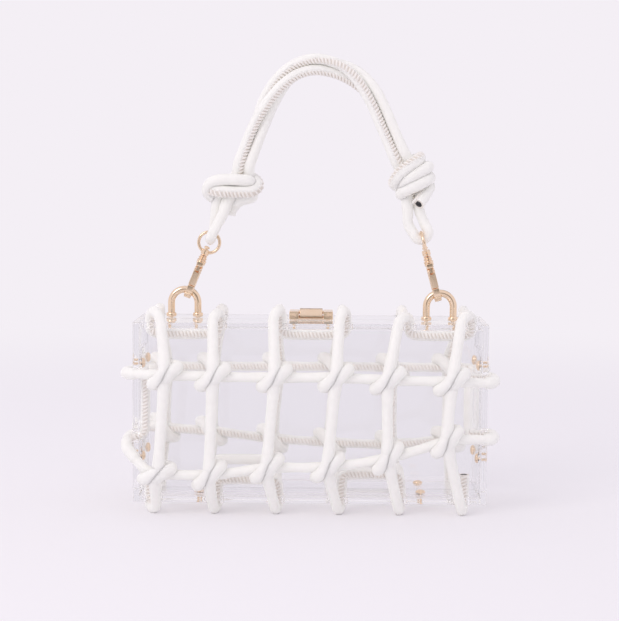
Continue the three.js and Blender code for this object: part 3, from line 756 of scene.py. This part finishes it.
def upright_route(columns, ends):
    """The cord of all columns, with runs under the top panel and loose arches over the floor."""
    upper = run_knots(columns, ends, "upper")
    lower = run_knots(columns, ends, "lower")

    def across(from_x, to_x, z, rise):
        out = [Vector((from_x + run, lace_y, z + rise * away)) for run, away in quarter_bend]
        back = [Vector((to_x - run, lace_y, z + rise * away)) for run, away in quarter_bend]
        return out + back[::-1]

    route = [Vector((columns[0]["foot"], lace_y, left_end))]
    for i, column in enumerate(columns):
        down = column_route(column, upper[i], lower[i])
        if i % 2 == 0:
            route += down[::-1] + across(column["hole"], columns[i + 1]["hole"], box_top - wall + GAP, -1)
        elif i + 1 < len(columns):
            height = arch_heights[(i - 1) // 2] - lace_bend
            route += down + across(column["foot"], columns[i + 1]["foot"], height, 1)
        else:
            route += down + [Vector((column["foot"], lace_y, right_end))]
    return route


def cross_route(columns, ends):
    """The cord of both cross runs, with an upright run inside the left wall between them."""

    def turn_edge(hand, end, edge_key, hole_key):
        points = []
        for i, (behind, beyond) in enumerate(lacing):
            z = mixed(end[edge_key], end[hole_key], lacing_shift(i))
            points.append(Vector((hand * (side + beyond), behind - face, z)))
        return points

    def past(row):
        stops = run_knots(columns, ends, row)
        line = [Vector((x, bar_y, z)) for x, z, slope in stops]
        for stop, reach, index in ((stops[0], -knot_straight, 0), (stops[-1], knot_straight, len(line) + 1)):
            x, z, slope = stop
            line.insert(index, Vector((x + reach * math.cos(slope), bar_y, z + reach * math.sin(slope))))
        return line

    upper = ends["upper"]
    lower = ends["lower"]
    wall_x = -side + wall - GAP
    route = [Vector((cross_end, lace_y, upper["right_hole"]))]
    route += turn_edge(1, upper, "right", "right_hole")[::-1]
    route += past("upper")[::-1]
    route += turn_edge(-1, upper, "left", "left_hole")
    route += [Vector((wall_x + away, lace_y, upper["left_hole"] - run)) for run, away in quarter_bend]
    route += [Vector((wall_x + away, lace_y, lower["left_hole"] + run)) for run, away in quarter_bend][::-1]
    route += turn_edge(-1, lower, "left", "left_hole")[::-1]
    route += past("lower")
    route += turn_edge(1, lower, "right", "right_hole")
    return route + [Vector((cross_end, lace_y, lower["right_hole"]))]


stitch_pitch = 2.05
stitch_thick = 0.68
stitch_reach = 2.7
stitch_slant = math.radians(24)
stitch_sink = 0.1
leather_thick = 1.1
seam_inset = 4
seam_knot = 1.4 * knot_lobe
upright_swell = (1.18, 1.03, 1)
cross_swell = (1, 0.9, 1.13)


def smooth_line(points, spacing=stitch_pitch / 2):
    """A smooth curve through points, as points an even distance apart, two for each stitch."""
    steps = [(b - a).length for a, b in zip(points, points[1:])]
    tangents = [(points[1] - points[0]) / steps[0]]
    for i in range(1, len(points) - 1):
        coming = (points[i] - points[i - 1]) / steps[i - 1]
        going = (points[i + 1] - points[i]) / steps[i]
        tangents.append((coming * steps[i] + going * steps[i - 1]).normalized())
    tangents.append((points[-1] - points[-2]) / steps[-1])
    dense = []
    for i, step in enumerate(steps):
        leaving = min(step, 1.5 * steps[max(i - 1, 0)]) / 3
        arriving = min(step, 1.5 * steps[min(i + 1, len(steps) - 1)]) / 3
        pieces = max(3, int(step / 0.25))
        out = points[i] + tangents[i] * leaving
        into = points[i + 1] - tangents[i + 1] * arriving
        curve = geometry.interpolate_bezier(points[i], out, into, points[i + 1], pieces)
        dense += curve[: pieces - 1] if i + 1 < len(steps) else curve
    lengths = [0]
    for a, b in zip(dense, dense[1:]):
        lengths.append(lengths[-1] + (b - a).length)
    count = max(2, round(lengths[-1] / spacing))
    even = []
    j = 0
    for k in range(count + 1):
        wanted = lengths[-1] * k / count
        while j < len(dense) - 2 and lengths[j + 1] < wanted:
            j += 1
        span = lengths[j + 1] - lengths[j]
        even.append(dense[j].lerp(dense[j + 1], (wanted - lengths[j]) / span if span else 0))
    return even


def cord_section(sides=24, groove=0.5, groove_deg=18):
    """A round section with a shallow groove along the seam, on its +X side."""
    points = []
    for i in range(sides):
        angle = 2 * math.pi * i / sides
        off = math.degrees(math.atan2(math.sin(angle), math.cos(angle)))
        radius = cord_radius - groove * math.exp(-((off / groove_deg) ** 2))
        points.append((radius * math.cos(angle), radius * math.sin(angle)))
    return points


def stitch_shape():
    """One slanted whip stitch over the seam, on the +X side of a cord along Z."""
    bm = bmesh.new()
    bmesh.ops.create_uvsphere(bm, u_segments=6, v_segments=9, radius=1)
    bmesh.ops.transform(bm, matrix=Matrix.Rotation(math.pi / 2, 4, "X"), verts=bm.verts)
    bmesh.ops.scale(bm, vec=(stitch_thick, stitch_reach, stitch_thick), verts=bm.verts)
    bmesh.ops.transform(bm, matrix=Matrix.Rotation(stitch_slant, 4, "X"), verts=bm.verts)
    for v in bm.verts:
        angle = v.co.y / cord_radius
        out = cord_radius - stitch_sink + v.co.x
        v.co.x = out * math.cos(angle)
        v.co.y = out * math.sin(angle)
    return to_mesh(bm, "stitch")


stitch = stitch_shape()


def stitches(frames):
    """Whip stitches along a cord, one on every second frame."""
    bm = bmesh.new()
    places = frames[1::2]
    for _ in places:
        bm.from_mesh(stitch)
    for k, v in enumerate(bm.verts):
        v.co = places[k // len(stitch.vertices)] @ v.co
    return bm


def cord(frames):
    """A length of cord with a raw seam, coloured darker partly as painted shade in its groove, whose cut ends
    show the dark core.
    """
    bm, caps = tube(frames, cord_section(), seam_sides=2)
    for cap in caps:
        bmesh.ops.inset_region(bm, faces=[cap], thickness=leather_thick, use_even_offset=True)
        cap.material_index = 1
    return bm


def stand(bm):
    """Flattens the soft cord where the bag stands on it."""
    for v in bm.verts:
        v.co.z = max(v.co.z, 0)


def nearest_knot(at, columns):
    """The middle of the net's knot that is nearest to a place."""
    middles = [Vector((c[f"{row}_x"], bar_y, c[f"{row}_z"])) for c in columns for row in ("upper", "lower")]
    return min(middles, key=lambda middle: (middle - at).length)


def swollen(frames, columns, at_knot, between, on_edge):
    """Frames scaled so that a cord is thicker where it is pressed round a knot or an edge of the box."""
    made = []
    for at in frames:
        place = at.translation
        far = (nearest_knot(place, columns) - place).length
        size = mixed(at_knot, between, max(0, min(1, (far - knot_lobe) / knot_lobe)))
        if abs(place.x) > side - 2 or not box_floor < place.z < box_top:
            size = on_edge
        made.append(at @ Matrix.Diagonal((size, size, 1, 1)))
    return made


def towards_box(at):
    """The side of a net cord that its seam lies on: against the box outside it, to the front inside it."""
    if abs(at.x) < side and at.y > -face and box_floor < at.z < box_top:
        return Vector((0, -1, 0))
    x = max(seam_inset - side, min(side - seam_inset, at.x))
    y = max(seam_inset - face, min(0, at.y))
    z = max(box_floor + seam_inset, min(box_top - seam_inset, at.z))
    return (Vector((x, y, z)) - at).normalized()


def upright_seam(columns):
    """The same for an upright cord, whose seam lies on the inside of its knots."""

    def wanted(at):
        middle = nearest_knot(at, columns)
        if at.y < -face and (middle - at).length < seam_knot:
            return (middle - at).normalized()
        return towards_box(at)

    return wanted


# Smooth white nappa: fine pebble grain, a soft sheen, and a slightly creamier tone where the grain is deeper.
white_leather, tree, place = new_material("white_nappa_leather")
grain = add_node(tree, "TexVoronoi", {"Vector": place, "Scale": 1 / (0.9 * MM)}, feature="SMOOTH_F1")
creases = add_node(tree, "TexNoise", {"Vector": place, "Scale": 1 / (3.5 * MM), "Detail": 4})
relief = add_node(tree, "Math", {0: grain, 1: creases}, operation="MULTIPLY")
pebble = add_node(tree, "Bump", {"Height": relief, "Strength": 0.25, "Distance": 0.25 * MM})
tone = add_node(tree, "Mix", {0: creases, 6: linear("edede9"), 7: linear("f6f6f2")}, data_type="RGBA")
gloss = add_node(tree, "MapRange", {
    "Value": creases, "From Min": 0.3, "From Max": 0.7, "To Min": 0.42, "To Max": 0.6,
})
shader = add_node(tree, "BsdfPrincipled", {
    "Base Color": tone.outputs[2], "Roughness": gloss, "IOR": 1.48, "Subsurface Weight": 0.6,
    "Subsurface Radius": (1, 1, 1), "Subsurface Scale": 2.5 * MM, "Normal": pebble,
})
add_node(tree, "OutputMaterial", {"Surface": shader})

# Waxed thread: a shade creamier than the leather, with a fine twist.
waxed_thread, tree, place = new_material("waxed_white_thread")
twist = add_node(tree, "TexNoise", {"Vector": place, "Scale": 1 / (0.5 * MM), "Detail": 2})
tone = add_node(tree, "Mix", {0: twist, 6: linear("eeeae5"), 7: linear("f9f7f3")}, data_type="RGBA")
fibre = add_node(tree, "Bump", {"Height": twist, "Strength": 0.3, "Distance": 0.1 * MM})
shader = add_node(tree, "BsdfPrincipled", {
    "Base Color": tone.outputs[2], "Roughness": 0.55, "IOR": 1.5, "Normal": fibre,
})
add_node(tree, "OutputMaterial", {"Surface": shader})

# Rubber core: nearly black and dull, seen only at the cut ends.
dark_core, tree, place = new_material("black_rubber_core")
crumb = add_node(tree, "TexNoise", {"Vector": place, "Scale": 1 / (0.4 * MM), "Detail": 3})
tone = add_node(tree, "Mix", {0: crumb, 6: linear("161518"), 7: linear("3a383c")}, data_type="RGBA")
shader = add_node(tree, "BsdfPrincipled", {"Base Color": tone.outputs[2], "Roughness": 0.8})
add_node(tree, "OutputMaterial", {"Surface": shader})

# Raw edge of the leather in the seam between the stitches: dull beige and fibrous, and darker than the
# leather partly as painted shade in the groove under the stitches.
raw_edge_and_seam_shade, tree, place = new_material("raw_leather_edge_and_painted_seam_shade")
fibres = add_node(tree, "TexNoise", {"Vector": place, "Scale": 1 / (0.7 * MM), "Detail": 3})
# The seam's beige is partly the raw edge's own tone and partly painted shade for the groove.
tone = add_node(tree, "Mix", {0: fibres, 6: linear("dfd9d1"), 7: linear("ebe6df")}, data_type="RGBA")
fuzz = add_node(tree, "Bump", {"Height": fibres, "Strength": 0.4, "Distance": 0.2 * MM})
shader = add_node(tree, "BsdfPrincipled", {"Base Color": tone.outputs[2], "Roughness": 0.85, "Normal": fuzz})
add_node(tree, "OutputMaterial", {"Surface": shader})
cord_materials = [white_leather, dark_core, raw_edge_and_seam_shade]

for half_name, columns, ends, turn in halves:
    upright = frames_along(smooth_line(upright_route(columns, ends)), upright_seam(columns))
    cross = frames_along(smooth_line(cross_route(columns, ends)), towards_box)
    for kind, frames in (
        ("upright", swollen(upright, columns, *upright_swell)),
        ("cross", swollen(cross, columns, *cross_swell)),
    ):
        skin = cord(frames)
        stand(skin)
        put_in_place(skin, f"{half_name}_{kind}_leather", "white_leather", cord_materials,
                     [f"{half_name}_{kind}_cord"], matrix=turn, sharp_deg=60)
        thread = stitches(frames)
        stand(thread)
        put_in_place(thread, f"{half_name}_{kind}_stitches", "white_leather", [waxed_thread], matrix=turn,
                     sharp_deg=60)

# Handle: one length of the same cord that goes three times over the arch, twisted. At each end two strands
# make a loop through the swivel ring, and the third is wrapped round them in a knot and cut off.
arch_line = (
    (-39.4, 196, 0), (-36, 206, 5), (-32.6, 216, 18), (-28.6, 226, 40), (-23.6, 235.6, 64), (-17, 244.3, 84),
    (-9, 250.6, 103), (0, 253.7, 122), (9, 253.4, 142), (17, 251, 163), (24.5, 246.3, 190), (31.5, 239, 218),
    (37.3, 229.5, 234), (42.3, 218.5, 240), (46.5, 209, 240), (49, 203.3, 240),
)
arch_middle = (5, 195)
strand_spread = 3.6
knots = {
    "left": {
        "middle": (-45.8, 5, 184.6),
        "tilt": 0,
        "through": (
            ((2.2, 6, 0.2), (-2.6, 0.5, -0.5), (-7, -5, -1.2), (-9, -9.5, -1.8), (-10, -16, -2.2)),
            ((8.8, 6, 0.2), (5, 0.5, -0.3), (0.6, -5, 0.2), (-3.2, -9.8, 1.8), (-5.3, -16, 2.6)),
        ),
        "third": (
            (6.8, 8, -6.2), (9.6, 4.8, -5), (13.3, 2.2, -0.8), (14.3, -0.6, 2.6), (11.5, -3.3, 5.4),
            (5, -3.9, 6.5), (-2, -3.8, 6.5), (-8, -3.5, 5.8), (-11.6, -2.7, 2), (-9.8, -1.2, -3.8),
            (-5, -0.5, -6.3),
        ),
        "wraps": (
            (
                (-6, -0.5, -6.1), (4, -0.4, -6.6), (9.6, -0.6, -4.4), (10.2, 0.8, 0.4), (9.6, 2.4, 4.4),
                (5, 3, 6.5), (-2, 3.3, 6.6), (-8, 2.9, 6.2), (-12.4, 1.2, 5), (-14.6, -2.4, 2.8),
                (-13.4, -6, -0.8), (-8, -7.6, -4.6), (0, -7.4, -6.4), (7.5, -6.8, -4.8), (11.2, -6.6, -1.4),
                (9.2, -7.3, 1.2), (4.2, -8.8, 0.4), (0.8, -11.8, -2.6), (-0.9, -14, -3.9),
                (-1.8, -17.1, -4.4),
            ),
        ),
    },
    "right": {
        "middle": (56.5, -5.8, 189.8),
        "tilt": 31,
        "through": (
            ((3.4, 8, 0.2), (3.1, 1, -0.4), (1.6, -5.5, -1), (-1.5, -11, -3.6), (-4.8, -16.8, -2.4)),
            ((-2.9, 8, 0.2), (-3.3, 1, -0.3), (-5.4, -5.5, -0.3), (-9, -10.6, 0), (-11.9, -16.4, 0)),
        ),
        "third": (
            (1.6, 9.5, -6.4), (6.5, 7.8, -5.6), (9.6, 7, -0.8), (7.4, 6.6, 4.4), (1.5, 6.3, 6.5),
            (-4.5, 5.4, 6), (-8.8, 3.2, 3.6), (-9.8, 0.9, -0.6), (-7.2, 0.2, -5.2), (-1.5, 0.6, -6.6),
        ),
        "wraps": (
            (
                (-3.5, 0.5, -6.4), (2, 0.7, -6.6), (7.5, 0.7, -5.4), (11.2, 0.5, -1.2), (10.2, 0.3, 3.8),
                (5, 0.3, 6.3), (-1, 0.2, 6.2), (-5.2, -0.4, 4.4), (-7.6, -0.8, 1.4),
            ),
            (
                (7.5, -4.8, -5), (9.2, -5.3, -0.6), (7.4, -5.4, 4.2), (2, -5.4, 6.6), (-3.5, -4.8, 6.4),
                (-8.2, -4.6, 4), (-9.8, -5.2, -0.4), (-7, -6.4, -4.8), (-1.5, -7.2, -6.6),
            ),
            (
                (-3, -7, -6.6), (3, -8.3, -6.2), (6.6, -9.4, -3.6), (3.8, -11.3, 0.4), (0, -13.2, 4.2),
                (-4.4, -14.7, 8),
            ),
        ),
    },
}
right_legs = ((65, 162.5), (55, 163.5))
ring_top = lug_z + 2 * ring_radius
loop_radius = ring_wire + GAP + cord_radius
strand_starts = (30, 150, 270)
knot_swell = 1.13
knot_core = 12
arch_turn = (-5, 35)
seam_front = 0.65
handle_seam_turn = math.radians(10)


def in_knot(knot, rows):
    """Points of a knot, from how far they are to the right, up and to the front of the knot's middle."""
    middle = Matrix.Translation(knot["middle"]) @ Matrix.Rotation(-math.radians(knot["tilt"]), 4, "Y")
    return [middle @ Vector((across, -front, rise)) for across, rise, front in rows]


def arch_strand(start_deg):
    """One strand of the arch, twisted round the middle line from where it starts beside it."""
    points = []
    last = len(arch_line) - 1
    for i, (x, z, turn_deg) in enumerate(arch_line):
        before = arch_line[max(i - 1, 0)]
        after = arch_line[min(i + 1, last)]
        outward = Vector((before[1] - after[1], after[0] - before[0])).normalized()
        turn = math.radians(start_deg + turn_deg)
        out = strand_spread * math.cos(turn)
        y = mixed(knots["left"]["middle"][1], knots["right"]["middle"][1], i / last)
        points.append(Vector((x + outward.x * out, y - strand_spread * math.sin(turn), z + outward.y * out)))
    return points


def left_leg(i, hand):
    """A strand from the loop in the left ring up through the left knot."""
    loop = arc(0, ring_top, loop_radius, -90, 0, 4)
    turns = [hook_places["left"] @ Vector((0, hand * out, z)) for out, z in loop]
    return turns + in_knot(knots["left"], knots["left"]["through"][i])[::-1]


def right_leg(i, hand):
    """A strand down through the right knot to the loop in the right ring."""
    loop = arc(0, ring_top, loop_radius, 0, -90, 4)
    turns = [hook_places["right"] @ Vector((hand * out, 0, z)) for out, z in loop]
    widest = Vector((right_legs[i][0], knots["right"]["middle"][1], right_legs[i][1]))
    return in_knot(knots["right"], knots["right"]["through"][i]) + [widest] + turns


def at_back(at):
    """The side that hides a seam."""
    return Vector((0, 1, 0))


def off_knot(name, lift):
    """A side of the strands wrapped round a knot: away from its middle, raised by a share."""
    middle = Vector(knots[name]["middle"])
    return lambda at: (at - middle).normalized() + Vector((0, 0, lift))


def handle_seam(left, arch, right):
    """The sides that a strand's seam lies on: a given one below a height at either end, and on the arch a
    share outwards, which changes from left to right, with the rest to the front."""

    def wanted(at):
        top, end_side = left if at.x < 0 else right
        if at.z < top:
            return end_side(at)
        outward = Vector((at.x - arch_middle[0], 0, at.z - arch_middle[1])).normalized()
        across = (at.x - arch_turn[0]) / (arch_turn[1] - arch_turn[0])
        return outward * mixed(*arch, max(0, min(1, across))) - Vector((0, seam_front, 0))

    return wanted


def pressed(frames):
    """Frames scaled so that a strand is thicker in the knots."""
    made = []
    for at in frames:
        far = min((Vector(knot["middle"]) - at.translation).length for knot in knots.values())
        size = mixed(knot_swell, 1, max(0, min(1, (far - knot_core) / knot_core)))
        made.append(at @ Matrix.Diagonal((size, size, 1, 1)))
    return made


arches = [arch_strand(start) for start in strand_starts]
first = left_leg(0, 1) + arches[0] + in_knot(knots["right"], knots["right"]["third"])
second = left_leg(1, -1) + arches[1] + right_leg(0, 1)
third = in_knot(knots["left"], knots["left"]["third"])[::-1] + arches[2] + right_leg(1, -1)
strands = [
    (first, handle_seam((178, at_back), (-0.75, -0.75), (202, off_knot("right", 0.7)))),
    (second, at_back),
    (third, handle_seam((192, off_knot("left", 0)), (-0.6, 0.6), (184, at_back))),
]
for knot in knots.values():
    middle = Vector(knot["middle"])
    strands += [(in_knot(knot, rows), lambda at, middle=middle: middle - at) for rows in knot["wraps"]]
handle = bmesh.new()
handle_thread = bmesh.new()
for route, wanted in strands:
    frames = pressed(frames_along(smooth_line(route), wanted, handle_seam_turn))
    add_shape(handle, cord(frames))
    add_shape(handle_thread, stitches(frames))
put_in_place(handle, "handle_leather", "white_leather", cord_materials, ["handle_cord"], sharp_deg=60)
put_in_place(handle_thread, "handle_stitches", "white_leather", [waxed_thread], sharp_deg=60)

# Studio: a pale sheet of seamless paper under a bright, even tent of light, with a large soft lamp at the
# front left. Far from the bag the paper glows as the tent does, so that no horizon shows.
backdrop = linear("f4eff5")
floor_shape = bmesh.new()
bmesh.ops.create_circle(floor_shape, cap_ends=True, segments=96, radius=8)
studio_floor = set_in_scene("studio_floor", to_mesh(floor_shape, "studio_floor"))
seamless_paper, tree, place = new_material("seamless_paper")
distance = add_node(tree, "VectorMath", {0: place}, operation="LENGTH")
fade = add_node(tree, "MapRange", {
    "Value": distance.outputs["Value"], "From Min": 0.35, "From Max": 1.1,
}, interpolation_type="SMOOTHSTEP")
paper = add_node(tree, "BsdfDiffuse", {"Color": linear("f2f1f4")})
far_paper = add_node(tree, "Emission", {"Color": backdrop, "Strength": 1})
blend = add_node(tree, "MixShader", {0: fade, 1: paper, 2: far_paper})
add_node(tree, "OutputMaterial", {"Surface": blend})
studio_floor.data.materials.append(seamless_paper)

tent = bpy.data.worlds.new("light_tent")
scene.world = tent
tent.use_nodes = True
tent.node_tree.nodes.clear()
glow = add_node(tent.node_tree, "Background", {"Color": backdrop, "Strength": 1})
add_node(tent.node_tree, "OutputWorld", {"Surface": glow})
softbox = bpy.data.lights.new("front_left_softbox", "AREA")
softbox.shape = "RECTANGLE"
softbox.size = 0.9
softbox.size_y = 0.9
softbox.energy = 8
softbox.color = linear("fffaf6")[:3]
lamp = set_in_scene("front_left_softbox", softbox)
lamp.location = (-1.1, -1.3, 1.3)
lamp.rotation_euler = (Vector((0, 0, 0.1)) - lamp.location).to_track_quat("-Z", "Y").to_euler()

# Cards: two grey ones, in front and high up behind, which show only as reflections, and the paper behind the
# box, which is a little darker where it shows through the acrylic.
bag_middle = (0, 0, 0.15)
for name, tones, spot, aim, size, through in (
    ("front_card", ("8a8684", "9c9896"), (0.1, -1.5, 0.25), bag_middle, (1.5, 0.9), False),
    ("back_card", ("6e6b6a", "6e6b6a"), (0.35, 1.4, 1.0), bag_middle, (1.3, 0.5), False),
    ("box_backdrop", ("e6e1e9", "e6e1e9"), (0, 0.08, 0.06), (0, 0, 0.06), (0.5, 0.116), True),
):
    card_paper, tree, place = new_material(f"{name}_paper")
    wash = add_node(tree, "TexNoise", {"Vector": place, "Scale": 3})
    tone = add_node(tree, "Mix", {0: wash, 6: linear(tones[0]), 7: linear(tones[1])}, data_type="RGBA")
    glow = add_node(tree, "Emission", {"Color": tone.outputs[2], "Strength": 1})
    add_node(tree, "OutputMaterial", {"Surface": glow})
    shape = bmesh.new()
    bmesh.ops.create_grid(shape, x_segments=1, y_segments=1, size=0.5)
    bmesh.ops.scale(shape, vec=(*size, 1), verts=shape.verts)
    turn = (Vector(aim) - Vector(spot)).to_track_quat("Z", "Y").to_matrix().to_4x4()
    bmesh.ops.transform(shape, matrix=Matrix.Translation(spot) @ turn, verts=shape.verts)
    card = set_in_scene(name, to_mesh(shape, name))
    card.data.materials.append(card_paper)
    card.visible_camera = False
    card.visible_diffuse = False
    card.visible_glossy = not through
    card.visible_transmission = through
    card.visible_shadow = False

# Light paths: long enough for light that is caught in the edges of the acrylic to come out again.
scene.view_settings.view_transform = "Standard"
scene.cycles.max_bounces = 48
scene.cycles.transmission_bounces = 48
scene.cycles.glossy_bounces = 48
scene.cycles.diffuse_bounces = 10
scene.cycles.transparent_max_bounces = 24
scene.cycles.caustics_refractive = True
scene.cycles.caustics_reflective = True
scene.cycles.blur_glossy = 0
